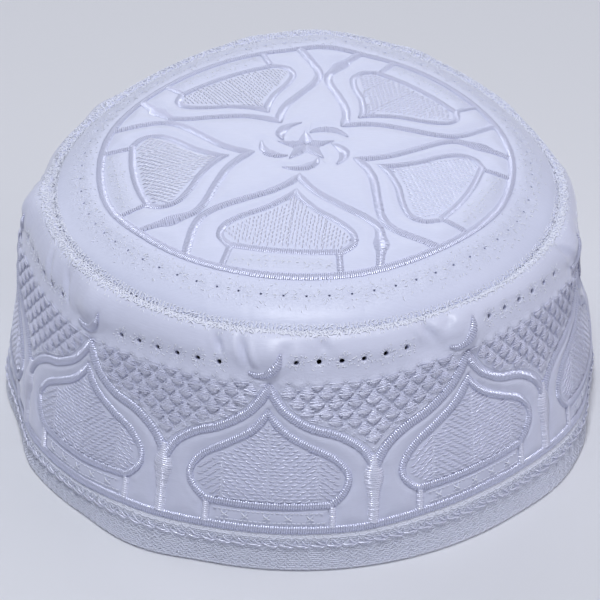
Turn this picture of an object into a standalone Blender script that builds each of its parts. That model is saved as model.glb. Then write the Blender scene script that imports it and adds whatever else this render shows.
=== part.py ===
"""White embroidered prayer cap: a round crown panel, a flared side wall and a stitched rim band.

Metres, +Z up. The origin is the middle of the base, on the surface that the cap stands on.
Bearings are degrees round the cap, 0 at the front (-Y), growing towards +X.
"""
from math import cos, hypot, pi, radians, sin

import bmesh
import bpy
from mathutils import Vector

# Overall shape of the cap
RIM_RADIUS = 0.0920          # outside of the rim, on the surface
SEAM_RADIUS = 0.0758         # where the crown panel meets the side wall
SEAM_HEIGHT = 0.0729         # height of that seam at the front
CROWN_RISE = 0.0146          # middle of the crown above the seam
BACK_LIFT = 0.0090           # how much taller the cap stands behind
BACK_BEARING = 177.0
BACK_REACH = 68.0            # degrees either way over which the lift dies out
CROWN_SHIFT = 0.0018         # the crown sits this far towards +X of the rim's middle

# Cloth
WALL_THICKNESS = 0.0016
CROWN_THICKNESS = 0.0014
RIM_BAND_THICKNESS = 0.0026
RIM_BAND_HEIGHT = 0.0130
RIM_EDGE_RADIUS = 0.0006
SEAM_GAP = 0.0003

# Embroidered bays round the side, each with a pillow of loose cloth over its arch
BAYS = 9
FIRST_BAY_BEARING = -6.8
PILLOW_DEPTH = 0.0020
PILLOW_WIDTH_SHARE = 0.38    # of a bay
PILLOW_BELOW_SEAM = 0.0049
PILLOW_HALF_HEIGHT = 0.0085
DENT_DEPTH = 0.0030          # the deepest single dent in the cloth
LOOSE_FROM_SHARE = 0.5       # of the seam's height, below which dents don't raise the cloth
SEAM_CALM_SHARE = 0.05       # of each profile, next to the seam, over which dents die out

# Eyelets, a short row between two pillows
EYELETS_PER_BAY = 6
EYELET_ROW_SHARE = 0.55      # of a bay
EYELET_DIAMETER = 0.0016
EYELET_BELOW_SEAM = 0.0065

# Faces
COLUMNS_PER_BAY = 12
COLUMNS = BAYS * COLUMNS_PER_BAY
BAY_WIDTH = 360.0 / BAYS     # degrees
EYELET_SIDES = 6
SLOPE_STEP = 0.01            # share of a profile either side of a place, to read its slope
SLOPE_TURN = 1.0             # degrees either side

# Side wall from the rim up to the seam.
# Columns: height as a share of SEAM_HEIGHT, spread as a share of rim radius less seam radius.
WALL_SECTIONS = [
    (0.000, 1.000),
    (0.100, 0.960),
    (0.200, 0.913),
    (0.385, 0.802),
    (0.550, 0.680),
    (0.715, 0.560),
    (0.850, 0.470),
    (0.926, 0.390),
    (0.980, 0.250),
    (1.006, 0.105),
    (1.000, 0.000),
]

# Crown panel from the seam in to the middle.
# Columns: radius as a share of SEAM_RADIUS, height above the seam as a share of CROWN_RISE.
CROWN_SECTIONS = [
    (1.000, 0.000),
    (0.965, 0.150),
    (0.925, 0.310),
    (0.890, 0.415),
    (0.815, 0.600),
    (0.660, 0.760),
    (0.400, 0.925),
    (0.180, 0.985),
    (0.000, 1.000),
]

# Dents and swellings that are not repeated.
# Columns: bearing, height as a share of SEAM_HEIGHT, half width in degrees,
# half height as a share of SEAM_HEIGHT, push outwards as a share of DENT_DEPTH.
WALL_DENTS = [
    (-90.0, 0.76, 20.0, 0.32, 0.65),
    (-100.0, 0.95, 9.0, 0.12, -0.50),
    (-75.0, 0.00, 15.0, 0.40, -0.90),
    (-31.0, 0.00, 15.0, 0.30, 0.70),
    (57.0, 0.00, 16.0, 0.30, 0.40),
    (81.0, 0.05, 13.0, 0.35, -0.70),
    (92.0, 0.66, 24.0, 0.42, -0.95),
    (112.0, 0.95, 16.0, 0.17, -1.00),
    (-18.0, 0.95, 4.0, 0.08, -0.38),
    (3.0, 0.95, 5.0, 0.08, -0.30),
    (24.0, 0.93, 5.0, 0.09, -0.34),
    (-58.0, 0.93, 5.0, 0.10, -0.38),
    (178.0, 0.94, 16.0, 0.14, 0.60),
]

# Columns: bearing, radius as a share of SEAM_RADIUS, half width in degrees,
# half reach as a share of SEAM_RADIUS, push upwards as a share of DENT_DEPTH.
CROWN_DENTS = [
    (-76.0, 0.80, 30.0, 0.28, -0.90),
    (40.0, 0.80, 30.0, 0.25, 0.40),
    (174.0, 0.88, 14.0, 0.22, 0.50),
    (72.0, 0.88, 16.0, 0.14, -0.38),
]

# Mesh rows of each piece, as shares of its own stretch of the profile, outside then inside
RIM_BAND_ROWS = ((0.5, 1.0), (1.0, 0.5))
SIDE_ROWS = (
    (0.0, 0.14, 0.28, 0.41, 0.53, 0.63, 0.71, 0.77, 0.83, 0.88, 0.93, 0.97, 1.0),
    (1.0, 0.95, 0.89, 0.82, 0.74, 0.62, 0.42, 0.21, 0.0),
)
CROWN_ROWS = (
    (0.0, 0.05, 0.10, 0.16, 0.23, 0.33, 0.46, 0.62, 0.80),
    (0.72, 0.50, 0.30, 0.18, 0.09, 0.0),
)


def clear_scene():
    for old in list(bpy.data.objects):
        bpy.data.objects.remove(old, do_unlink=True)


def satin(name, colour, roughness):
    material = bpy.data.materials.new(name)
    material.use_nodes = True
    shader = material.node_tree.nodes["Principled BSDF"]
    shader.inputs["Base Color"].default_value = (*colour, 1.0)
    shader.inputs["Roughness"].default_value = roughness
    shader.inputs["Metallic"].default_value = 0.0
    return material


def bell(distance, reach):
    """1 in the middle, falling smoothly to 0 at the reach."""
    return 0.5 + 0.5 * cos(pi * min(abs(distance) / reach, 1.0))


def degrees_between(one, other):
    return (one - other + 180.0) % 360.0 - 180.0


def wall_rows():
    spread = RIM_RADIUS - SEAM_RADIUS
    return [(SEAM_RADIUS + spread * out, SEAM_HEIGHT * up) for up, out in WALL_SECTIONS]


def crown_rows():
    return [(SEAM_RADIUS * out, SEAM_HEIGHT + CROWN_RISE * up) for out, up in CROWN_SECTIONS]


def knots_of(rows):
    knots = [0.0]
    for before, after in zip(rows, rows[1:]):
        knots.append(knots[-1] + hypot(after[0] - before[0], after[1] - before[1]))
    return knots


def smooth_point(rows, share):
    """Radius and height on a smooth curve through the rows, at a share of its length."""
    knots = knots_of(rows)
    reach = min(max(share, 0.0), 1.0) * knots[-1]
    last = len(rows) - 1
    here = 0
    while here < last - 1 and reach > knots[here + 1]:
        here += 1
    span = knots[here + 1] - knots[here]
    t = (reach - knots[here]) / span
    point = []
    for axis in (0, 1):
        ends = []
        for row in (here, here + 1):
            low = max(row - 1, 0)
            high = min(row + 1, last)
            ends.append((rows[high][axis] - rows[low][axis]) / (knots[high] - knots[low]) * span)
        start = rows[here][axis]
        stop = rows[here + 1][axis]
        lift = stop - start
        bend = t * (1.0 - t)
        point.append(start + lift * t * t * (3.0 - 2.0 * t)
                     + bend * (1.0 - t) * ends[0] - bend * t * ends[1])
    return point


def share_at_height(rows, height):
    """Share of the wall's length at which it first reaches a height."""
    low = 0.0
    high = 0.9
    for _ in range(40):
        middle = 0.5 * (low + high)
        if smooth_point(rows, middle)[1] < height:
            low = middle
        else:
            high = middle
    return 0.5 * (low + high)


def back_lift(bearing):
    return BACK_LIFT * bell(degrees_between(bearing, BACK_BEARING), BACK_REACH)


def wall_push(bearing, height):
    """How far the loose cloth of the side stands out, from its pillows and dents."""
    bay = round(degrees_between(bearing, FIRST_BAY_BEARING) / BAY_WIDTH)
    from_pillow = degrees_between(bearing, FIRST_BAY_BEARING + bay * BAY_WIDTH)
    push = (PILLOW_DEPTH * bell(from_pillow, 0.5 * PILLOW_WIDTH_SHARE * BAY_WIDTH)
            * bell(height - (SEAM_HEIGHT - PILLOW_BELOW_SEAM), PILLOW_HALF_HEIGHT))
    for centre, level, half_width, half_height, share in WALL_DENTS:
        push += (DENT_DEPTH * share * bell(degrees_between(bearing, centre), half_width)
                 * bell(height - level * SEAM_HEIGHT, half_height * SEAM_HEIGHT))
    return push


def crown_push(bearing, radius):
    push = 0.0
    for centre, level, half_width, half_reach, share in CROWN_DENTS:
        push += (DENT_DEPTH * share * bell(degrees_between(bearing, centre), half_width)
                 * bell(radius - level * SEAM_RADIUS, half_reach * SEAM_RADIUS))
    return push


def wall_point(bearing, share):
    """A point on the outside of the side wall, from the rim (0) to the seam (1)."""
    radius, height = smooth_point(wall_rows(), share)
    push = wall_push(bearing, height) * (1.0 - bell(1.0 - share, SEAM_CALM_SHARE))
    near_radius, near_height = smooth_point(wall_rows(), share - SLOPE_STEP)
    far_radius, far_height = smooth_point(wall_rows(), share + SLOPE_STEP)
    run = hypot(far_radius - near_radius, far_height - near_height)
    radius += push * (far_height - near_height) / run
    rise = push * (near_radius - far_radius) / run
    up_share = height / SEAM_HEIGHT
    height += rise * min(1.0, up_share / LOOSE_FROM_SHARE) + back_lift(bearing) * up_share ** 2
    turn = radians(bearing)
    return Vector((radius * sin(turn) + CROWN_SHIFT * up_share, -radius * cos(turn), height))


def crown_point(bearing, share):
    """A point on top of the crown panel, from the seam (0) to the middle (1)."""
    radius, height = smooth_point(crown_rows(), share)
    out_share = radius / SEAM_RADIUS
    push = crown_push(bearing, radius) * (1.0 - bell(share, SEAM_CALM_SHARE))
    lift = back_lift(bearing) * out_share ** 4 + push
    turn = radians(bearing)
    return Vector((radius * sin(turn) + CROWN_SHIFT, -radius * cos(turn), height + lift))


def outward(surface, bearing, share):
    """Direction that points out of the cloth at a place on one of its surfaces."""
    round_cap = surface(bearing + SLOPE_TURN, share) - surface(bearing - SLOPE_TURN, share)
    above = surface(bearing, min(share + SLOPE_STEP, 1.0))
    below = surface(bearing, max(share - SLOPE_STEP, 0.0))
    return round_cap.cross(above - below).normalized()


def bearings():
    return [FIRST_BAY_BEARING + 360.0 * column / COLUMNS for column in range(COLUMNS)]


def outer_ring(surface, share):
    return [surface(bearing, share) for bearing in bearings()]


def inner_ring(surface, share, thickness):
    return [surface(bearing, share) - outward(surface, bearing, share) * thickness
            for bearing in bearings()]


def shell(name, outside, inside, middles=None):
    """A closed cloth wall through its outside rings and back through its inside rings.

    A panel that covers the middle has two middle points, where its last outside ring and its
    first inside ring close.
    """
    shape = bmesh.new()
    outer = [[shape.verts.new(point) for point in ring] for ring in outside]
    inner = [[shape.verts.new(point) for point in ring] for ring in inside]
    pairs = list(zip(outer, outer[1:])) + list(zip(inner, inner[1:])) + [(inner[-1], outer[0])]
    if middles:
        top = shape.verts.new(middles[0])
        under = shape.verts.new(middles[1])
    else:
        pairs.append((outer[-1], inner[0]))
    for column in range(COLUMNS):
        after = (column + 1) % COLUMNS
        for lower, upper in pairs:
            shape.faces.new((lower[column], lower[after], upper[after], upper[column]))
        if middles:
            shape.faces.new((outer[-1][column], outer[-1][after], top))
            shape.faces.new((inner[0][after], inner[0][column], under))
    mesh = bpy.data.meshes.new(name)
    shape.to_mesh(mesh)
    shape.free()
    return mesh


def place(name, mesh, material):
    mesh.shade_smooth()
    mesh.set_sharp_from_angle(angle=radians(40.0))
    mesh.materials.append(material)
    thing = bpy.data.objects.new(name, mesh)
    bpy.context.scene.collection.objects.link(thing)
    return thing


def rim_band():
    """The folded and densely stitched band at the base, flat where it stands."""
    top = share_at_height(wall_rows(), RIM_BAND_HEIGHT - 0.5 * SEAM_GAP)
    edge = share_at_height(wall_rows(), RIM_EDGE_RADIUS)

    def at_base(inset):
        ring = []
        for bearing in bearings():
            point = wall_point(bearing, 0.0)
            radius = hypot(point.x, point.y)
            keep = (radius - inset) / radius
            ring.append(Vector((point.x * keep, point.y * keep, 0.0)))
        return ring

    def at_edge_height(ring):
        return [Vector((point.x, point.y, RIM_EDGE_RADIUS)) for point in ring]

    outside_rows, inside_rows = RIM_BAND_ROWS
    outside = [at_base(RIM_EDGE_RADIUS), at_edge_height(outer_ring(wall_point, edge))]
    outside += [outer_ring(wall_point, edge + (top - edge) * row) for row in outside_rows]
    inside = [inner_ring(wall_point, edge + (top - edge) * row, RIM_BAND_THICKNESS)
              for row in inside_rows]
    inside += [at_edge_height(at_base(RIM_BAND_THICKNESS)),
               at_base(RIM_BAND_THICKNESS - RIM_EDGE_RADIUS)]
    return place("rim_band", shell("rim_band", outside, inside),
                 satin("stitched_rim_cotton", (0.56, 0.57, 0.68), 0.55))


def eyelet_cutter():
    """All the eyelets' pins in one guide, each pointing out of the cap."""
    level = share_at_height(wall_rows(), SEAM_HEIGHT - EYELET_BELOW_SEAM)
    spacing = BAY_WIDTH * EYELET_ROW_SHARE / (EYELETS_PER_BAY - 1)
    shape = bmesh.new()
    for bay in range(BAYS):
        middle = FIRST_BAY_BEARING + (bay + 0.5) * BAY_WIDTH
        for number in range(EYELETS_PER_BAY):
            bearing = middle + (number - 0.5 * (EYELETS_PER_BAY - 1)) * spacing
            centre = wall_point(bearing, level)
            direction = outward(wall_point, bearing, level)
            turn = direction.to_track_quat("Z", "Y").to_matrix().to_4x4()
            turn.translation = centre - direction * 0.5 * WALL_THICKNESS
            bmesh.ops.create_cone(shape, cap_ends=True, segments=EYELET_SIDES,
                                  radius1=0.5 * EYELET_DIAMETER, radius2=0.5 * EYELET_DIAMETER,
                                  depth=4.0 * WALL_THICKNESS, matrix=turn)
    mesh = bpy.data.meshes.new("eyelet_pins")
    shape.to_mesh(mesh)
    shape.free()
    pins = bpy.data.objects.new("eyelet_pins", mesh)
    pins.hide_render = True
    pins.display_type = "WIRE"
    bpy.context.scene.collection.objects.link(pins)
    return pins


def side_wall():
    """The flared side, from the rim band up over the shoulder to the seam."""
    bottom = share_at_height(wall_rows(), RIM_BAND_HEIGHT + 0.5 * SEAM_GAP)
    length = knots_of(wall_rows())[-1]
    top = 1.0 - 0.5 * SEAM_GAP / length
    outside_rows, inside_rows = SIDE_ROWS
    outside = [outer_ring(wall_point, bottom + (top - bottom) * row) for row in outside_rows]
    inside = [inner_ring(wall_point, bottom + (top - bottom) * row, WALL_THICKNESS)
              for row in inside_rows]
    side = place("side_wall", shell("side_wall", outside, inside),
                 satin("white_satin_side", (0.47, 0.49, 0.63), 0.42))
    cut = side.modifiers.new("eyelets", "BOOLEAN")
    cut.operation = "DIFFERENCE"
    cut.solver = "EXACT"
    cut.object = eyelet_cutter()
    return side


def crown_panel():
    """The round top, domed a little, with its edge turned down to the seam."""
    length = knots_of(crown_rows())[-1]
    edge = 0.5 * SEAM_GAP / length
    outside_rows, inside_rows = CROWN_ROWS
    outside = [outer_ring(crown_point, edge + (1.0 - edge) * row) for row in outside_rows]
    inside = [inner_ring(crown_point, edge + (1.0 - edge) * row, CROWN_THICKNESS)
              for row in inside_rows]
    top = crown_point(0.0, 1.0)
    under = top - Vector((0.0, 0.0, CROWN_THICKNESS))
    return place("crown_panel", shell("crown_panel", outside, inside, middles=(top, under)),
                 satin("white_satin_crown", (0.62, 0.66, 0.82), 0.38))


clear_scene()
rim_band()
side_wall()
crown_panel()
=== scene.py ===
"""White embroidered prayer cap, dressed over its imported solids.

Metres, +Z up. The origin is the middle of the base, on the surface that the cap stands on.
Bearings are degrees round the cap, 0 at the front (-Y), growing towards +X.
The embroidery is drawn flat first: on the side as degrees and millimetres up the cloth from
the rim, on the crown as degrees and millimetres out from the middle.
"""
from math import pi, radians

import bpy
import numpy as np
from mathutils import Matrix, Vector


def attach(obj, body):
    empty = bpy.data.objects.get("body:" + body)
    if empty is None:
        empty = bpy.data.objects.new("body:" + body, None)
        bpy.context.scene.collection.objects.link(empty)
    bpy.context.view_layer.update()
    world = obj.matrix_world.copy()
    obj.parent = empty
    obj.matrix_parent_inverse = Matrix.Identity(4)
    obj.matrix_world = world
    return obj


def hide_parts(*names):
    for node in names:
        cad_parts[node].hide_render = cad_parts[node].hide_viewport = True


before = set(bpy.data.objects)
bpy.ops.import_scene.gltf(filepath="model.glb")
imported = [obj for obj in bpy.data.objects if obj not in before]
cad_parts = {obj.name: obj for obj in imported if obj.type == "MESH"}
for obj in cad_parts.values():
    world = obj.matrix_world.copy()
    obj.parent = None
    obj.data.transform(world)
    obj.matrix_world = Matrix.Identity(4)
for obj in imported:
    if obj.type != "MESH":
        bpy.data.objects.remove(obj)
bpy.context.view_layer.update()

# The solids' sizes, in metres and degrees
RIM_RADIUS = 0.0920
SEAM_RADIUS = 0.0758
SEAM_HEIGHT = 0.0729
CROWN_RISE = 0.0146
BACK_LIFT = 0.0090
BACK_BEARING = 177.0
BACK_REACH = 68.0
CROWN_SHIFT = 0.0018
WALL_THICKNESS = 0.0016
CROWN_THICKNESS = 0.0014
RIM_BAND_THICKNESS = 0.0026
RIM_EDGE_RADIUS = 0.0006
BAYS = 9
FIRST_BAY_BEARING = -6.8
PILLOW_DEPTH = 0.0020
PILLOW_WIDTH_SHARE = 0.38
PILLOW_BELOW_SEAM = 0.0049
PILLOW_HALF_HEIGHT = 0.0085
DENT_DEPTH = 0.0030
LOOSE_FROM_SHARE = 0.5
SEAM_CALM_SHARE = 0.05
BAY_WIDTH = 360.0 / BAYS

# Side profile. Columns: height as a share of SEAM_HEIGHT, spread as a share of the flare.
WALL_SECTIONS = [
    (0.000, 1.000),
    (0.100, 0.960),
    (0.200, 0.913),
    (0.385, 0.802),
    (0.550, 0.680),
    (0.715, 0.560),
    (0.850, 0.470),
    (0.926, 0.390),
    (0.980, 0.250),
    (1.006, 0.105),
    (1.000, 0.000),
]

# Crown profile. Columns: radius as a share of SEAM_RADIUS, height as a share of CROWN_RISE.
CROWN_SECTIONS = [
    (1.000, 0.000),
    (0.965, 0.150),
    (0.925, 0.310),
    (0.890, 0.415),
    (0.815, 0.600),
    (0.660, 0.760),
    (0.400, 0.925),
    (0.180, 0.985),
    (0.000, 1.000),
]

# Dents of the side. Columns: bearing, height as a share of SEAM_HEIGHT, half width in degrees,
# half height as a share of SEAM_HEIGHT, push outwards as a share of DENT_DEPTH.
WALL_DENTS = [
    (-90.0, 0.76, 20.0, 0.32, 0.65),
    (-100.0, 0.95, 9.0, 0.12, -0.50),
    (-75.0, 0.00, 15.0, 0.40, -0.90),
    (-31.0, 0.00, 15.0, 0.30, 0.70),
    (57.0, 0.00, 16.0, 0.30, 0.40),
    (81.0, 0.05, 13.0, 0.35, -0.70),
    (92.0, 0.66, 24.0, 0.42, -0.95),
    (112.0, 0.95, 16.0, 0.17, -1.00),
    (-18.0, 0.95, 4.0, 0.08, -0.38),
    (3.0, 0.95, 5.0, 0.08, -0.30),
    (24.0, 0.93, 5.0, 0.09, -0.34),
    (-58.0, 0.93, 5.0, 0.10, -0.38),
    (178.0, 0.94, 16.0, 0.14, 0.60),
]

# Dents of the crown. Columns: bearing, radius as a share of SEAM_RADIUS, half width in degrees,
# half reach as a share of SEAM_RADIUS, push upwards as a share of DENT_DEPTH.
CROWN_DENTS = [
    (-76.0, 0.80, 30.0, 0.28, -0.90),
    (40.0, 0.80, 30.0, 0.25, 0.40),
    (174.0, 0.88, 14.0, 0.22, 0.50),
    (72.0, 0.88, 16.0, 0.14, -0.38),
]

# How far the embroidery of the side sits off its level. Columns: bearing, millimetres up.
DRIFT = [
    (-150.0, -1.0),
    (-100.0, -1.8),
    (-62.0, -2.5),
    (-45.0, -2.2),
    (-35.0, -0.6),
    (-14.0, 0.1),
    (11.0, 0.3),
    (23.0, 1.9),
    (36.0, 2.7),
    (46.0, 2.7),
    (56.0, 1.7),
    (68.0, 0.3),
    (120.0, 0.0),
]

# Levels of the side's embroidery, in mm up the cloth, and its mm across for every degree
HEM_LINE_UP = 13.7
LATTICE_FOOT = 28.0
LATTICE_TOP = 61.5
SIDE_MM_PER_DEGREE = 1.47

# Satin lines of one bay of the side.
# Columns: degrees from the bay's middle, mm up the cloth, half width in mm.
SIDE_LINES = {
    "arch_left": [(0.0, 60.2, 0.5), (-0.6, 58.0, 1.2), (-2.0, 54.6, 1.25), (-4.4, 50.5, 1.15),
                  (-9.4, 45.6, 1.1), (-13.6, 43.0, 1.1), (-17.3, 38.9, 1.1), (-19.3, 34.0, 1.2),
                  (-19.9, 30.0, 1.0)],
    "arch_right": [(0.0, 60.2, 0.5), (0.5, 58.0, 1.2), (1.6, 54.8, 1.25), (3.5, 51.3, 1.15),
                   (7.8, 47.0, 1.1), (13.4, 44.0, 1.1), (17.4, 39.8, 1.1), (19.4, 35.2, 1.2),
                   (20.0, 31.0, 1.0)],
    "stem": [(20.0, 36.5, 0.8), (20.0, 33.6, 1.5), (20.0, 31.0, 2.4), (20.0, 28.4, 2.6),
             (20.0, 26.0, 2.0), (20.0, 23.0, 1.55), (20.0, 19.0, 1.5), (20.0, 14.8, 1.55)],
    "dome_left": [(0.0, 52.0, 0.5), (-0.9, 49.4, 1.0), (-3.2, 45.2, 1.0), (-7.4, 40.9, 0.95),
                  (-11.8, 36.6, 0.95), (-14.2, 31.8, 0.95), (-14.3, 27.4, 0.95),
                  (-12.6, 23.6, 0.95), (-11.0, 21.7, 0.9)],
    "dome_right": [(0.0, 52.0, 0.5), (0.9, 49.4, 1.0), (3.4, 45.2, 1.0), (7.8, 41.0, 0.95),
                   (12.3, 37.2, 0.95), (14.9, 32.6, 0.95), (15.2, 28.4, 0.95),
                   (13.8, 24.4, 0.95), (12.0, 22.0, 0.9)],
    "dome_base": [(-11.4, 21.7, 0.95), (0.0, 21.5, 0.95), (12.4, 21.9, 0.95)],
    "post_left": [(-11.0, 20.8, 0.9), (-11.0, 14.8, 0.9)],
    "post_right": [(12.4, 21.0, 0.9), (12.4, 14.8, 0.9)],
    "crescent": [(-4.0, 63.9, 0.25), (-2.6, 63.2, 0.6), (-0.8, 63.5, 0.95), (0.6, 65.2, 1.15),
                 (1.5, 67.4, 0.95), (1.9, 69.6, 0.3)],
}

CROWN_MOTIFS = 5
MOTIF_WIDTH = 360.0 / CROWN_MOTIFS
FIRST_MOTIF_BEARING = -7.0

# Satin lines of one motif of the crown.
# Columns: degrees from the motif's middle, mm out from the crown's middle, half width in mm.
CROWN_LINES = {
    "arch_left": [(0.0, 16.0, 0.4), (-3.0, 18.2, 1.1), (-8.0, 21.2, 1.1), (-16.0, 26.0, 1.1),
                  (-27.5, 33.8, 1.1), (-33.0, 40.5, 1.1), (-34.2, 45.5, 1.1), (-32.6, 50.6, 1.1),
                  (-27.5, 60.6, 1.1)],
    "arch_right": [(0.0, 16.0, 0.4), (3.0, 18.2, 1.1), (8.0, 21.2, 1.1), (15.5, 26.0, 1.1),
                   (26.5, 33.8, 1.1), (32.6, 40.5, 1.1), (34.0, 45.5, 1.1), (32.6, 49.0, 1.3),
                   (31.0, 52.5, 2.0), (29.4, 55.5, 1.2), (27.0, 60.6, 1.0)],
    "dome_left": [(0.0, 23.8, 0.4), (-2.6, 26.6, 0.9), (-7.0, 29.6, 0.9), (-13.0, 34.0, 0.9),
                  (-21.0, 40.2, 0.9), (-24.0, 45.8, 0.9), (-22.4, 50.2, 0.9), (-17.6, 52.8, 0.9)],
    "dome_right": [(0.0, 23.8, 0.4), (2.6, 26.6, 0.9), (7.0, 29.6, 0.9), (13.0, 34.0, 0.9),
                   (21.0, 40.2, 0.9), (24.0, 45.8, 0.9), (22.4, 50.2, 0.9), (17.6, 52.8, 0.9)],
    "dome_base": [(-18.0, 52.6, 0.9), (-6.0, 51.8, 0.9), (6.0, 51.8, 0.9), (18.0, 52.6, 0.9)],
    "post_left": [(-17.0, 53.6, 0.8), (-16.2, 60.4, 0.8)],
    "post_right": [(17.0, 53.6, 0.8), (16.2, 60.4, 0.8)],
    "crescent": [(-22.0, 13.6, 0.3), (-9.0, 13.0, 0.9), (4.0, 12.2, 1.35), (16.0, 10.8, 1.3),
                 (26.0, 9.2, 0.8), (32.0, 8.0, 0.3)],
    "star_arm": [(44.0, 0.5, 0.4), (44.0, 2.6, 1.9), (44.0, 4.2, 1.5), (44.0, 8.4, 0.2)],
}
CROWN_RING_RADIUS = 61.5
CROWN_EYELET_RADIUS = 67.4
CROWN_EYELETS = 66
CROWN_EYELET_WIDTH = 0.0007
CROWN_EYELET_MM_PER_DEGREE = 1.18
CROWN_EYELET_BEARINGS = np.arange(CROWN_EYELETS) * 360.0 / CROWN_EYELETS

EYELETS_PER_BAY = 6
EYELET_PITCH = 4.4
EYELET_WIDTH = 0.0015
EYELET_MM_PER_DEGREE = 1.38

# Eyelets of the side, a row between every two arches.
# Columns: degrees from the bay's middle to the row's middle, mm up the cloth.
EYELET_ROWS = [(16.0, 67.5), (17.4, 67.4), (17.0, 67.0), (17.6, 67.3), (17.4, 67.6), (17.2, 67.2),
               (17.6, 66.8), (17.4, 66.6), (18.7, 65.6)]

CREASE_MM_PER_DEGREE = 1.35

# Creases in the loose cloth over the arches.
# Columns: bearing at the top, mm up, bearing at the foot, mm up, depth in mm, half width in mm.
CREASES = [
    (-18.6, 74.0, -16.4, 67.0, 1.0, 0.9),
    (-13.6, 74.6, -10.6, 64.0, 1.3, 1.0),
    (-3.4, 73.0, -4.4, 67.0, 0.6, 1.3),
    (3.0, 74.0, 3.6, 70.5, 0.5, 1.2),
    (24.0, 75.0, 26.2, 66.0, 0.9, 1.2),
    (30.0, 74.5, 29.2, 68.0, 0.6, 1.3),
    (-59.0, 74.0, -55.0, 65.0, 1.0, 1.1),
    (-66.0, 74.0, -63.0, 66.0, 0.8, 1.1),
    (66.0, 74.5, 70.0, 65.5, 1.0, 1.2),
    (102.0, 74.0, 105.0, 66.0, 0.8, 1.6),
    (143.0, 74.5, 146.0, 67.0, 0.6, 1.5),
    (-96.0, 74.5, -99.0, 66.0, 0.8, 1.6),
    (-136.0, 74.0, -133.0, 66.5, 0.6, 1.5),
    (-176.0, 74.5, -173.0, 67.0, 0.7, 1.5),
]


def add_object(name, data):
    """A new object in the scene."""
    thing = bpy.data.objects.new(name, data)
    bpy.context.scene.collection.objects.link(thing)
    return thing


# Camera, at the height and distance from which the cap was seen
def set_camera():
    lens = bpy.data.cameras.new("camera")
    lens.lens = 165.8
    lens.sensor_width = 36.0
    camera = add_object("camera", lens)
    camera.location = (0.0, -0.7047, 0.5144)
    camera.rotation_euler = (radians(90.0 - 34.41), 0.0, 0.0)
    bpy.context.scene.camera = camera


# Shape of the cap, for arrays of places
def bell(distance, reach):
    """1 in the middle, falling smoothly to 0 at the reach."""
    return 0.5 + 0.5 * np.cos(pi * np.minimum(np.abs(distance) / reach, 1.0))


def degrees_between(one, other):
    return (one - other + 180.0) % 360.0 - 180.0


def in_repeat(bearing, first, width):
    """Degrees from the middle of the nearest repeat of a pattern."""
    off = degrees_between(bearing, first)
    return off - width * np.round(off / width)


def in_bay(bearing):
    return in_repeat(bearing, FIRST_BAY_BEARING, BAY_WIDTH)


def knots_of(rows):
    """Lengths along a line of rows, over their first two columns."""
    return np.concatenate(([0.0], np.cumsum(np.hypot(*np.diff(rows[:, :2], axis=0).T))))


def smooth_point(rows, share):
    """Places on a smooth curve through the rows, at shares of its length."""
    knots = knots_of(rows)
    last = len(rows) - 1
    reach = np.clip(share, 0.0, 1.0) * knots[-1]
    here = np.clip(np.searchsorted(knots, reach, side="left") - 1, 0, last - 1)
    span = knots[here + 1] - knots[here]
    t = (reach - knots[here]) / span
    bend = t * (1.0 - t)
    ends = []
    for row in (here, here + 1):
        low = np.maximum(row - 1, 0)
        high = np.minimum(row + 1, last)
        slope = (rows[high] - rows[low]) / (knots[high] - knots[low])[:, None]
        ends.append(slope * span[:, None])
    lift = rows[here + 1] - rows[here]
    return (rows[here] + lift * (t * t * (3.0 - 2.0 * t))[:, None]
            + (bend * (1.0 - t))[:, None] * ends[0] - (bend * t)[:, None] * ends[1])


wall_table = np.array(WALL_SECTIONS)
WALL_ROWS = np.column_stack((SEAM_RADIUS + (RIM_RADIUS - SEAM_RADIUS) * wall_table[:, 1],
                             SEAM_HEIGHT * wall_table[:, 0]))
crown_table = np.array(CROWN_SECTIONS)
CROWN_ROWS = np.column_stack((SEAM_RADIUS * crown_table[:, 0],
                              SEAM_HEIGHT + CROWN_RISE * crown_table[:, 1]))
WALL_LENGTH = knots_of(WALL_ROWS)[-1]
crown_shares = np.linspace(1.0, 0.0, 400)
crown_profile = smooth_point(CROWN_ROWS, crown_shares)


def back_lift(bearing):
    return BACK_LIFT * bell(degrees_between(bearing, BACK_BEARING), BACK_REACH)


def dent_push(dents, bearing, distance, whole):
    """The push of the dents, whose levels and reaches are shares of a whole distance."""
    push = 0.0
    for centre, level, half_width, half_reach, share in dents:
        push = push + (DENT_DEPTH * share * bell(degrees_between(bearing, centre), half_width)
                       * bell(distance - level * whole, half_reach * whole))
    return push


def wall_push(bearing, height):
    return (PILLOW_DEPTH * bell(in_bay(bearing), 0.5 * PILLOW_WIDTH_SHARE * BAY_WIDTH)
            * bell(height - (SEAM_HEIGHT - PILLOW_BELOW_SEAM), PILLOW_HALF_HEIGHT)
            + dent_push(WALL_DENTS, bearing, height, SEAM_HEIGHT))


def wall_point(bearing, share):
    """Places on the outside of the solid side, from the rim (0) to the seam (1)."""
    radius, height = smooth_point(WALL_ROWS, share).T
    push = wall_push(bearing, height) * (1.0 - bell(1.0 - share, SEAM_CALM_SHARE))
    slope = smooth_point(WALL_ROWS, share + 0.01) - smooth_point(WALL_ROWS, share - 0.01)
    run = np.hypot(slope[:, 0], slope[:, 1])
    radius = radius + push * slope[:, 1] / run
    up_share = height / SEAM_HEIGHT
    rise = -push * slope[:, 0] / run * np.minimum(1.0, up_share / LOOSE_FROM_SHARE)
    height = height + rise + back_lift(bearing) * up_share ** 2
    turn = np.radians(bearing)
    return np.column_stack((radius * np.sin(turn) + CROWN_SHIFT * up_share,
                            -radius * np.cos(turn), height))


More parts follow.
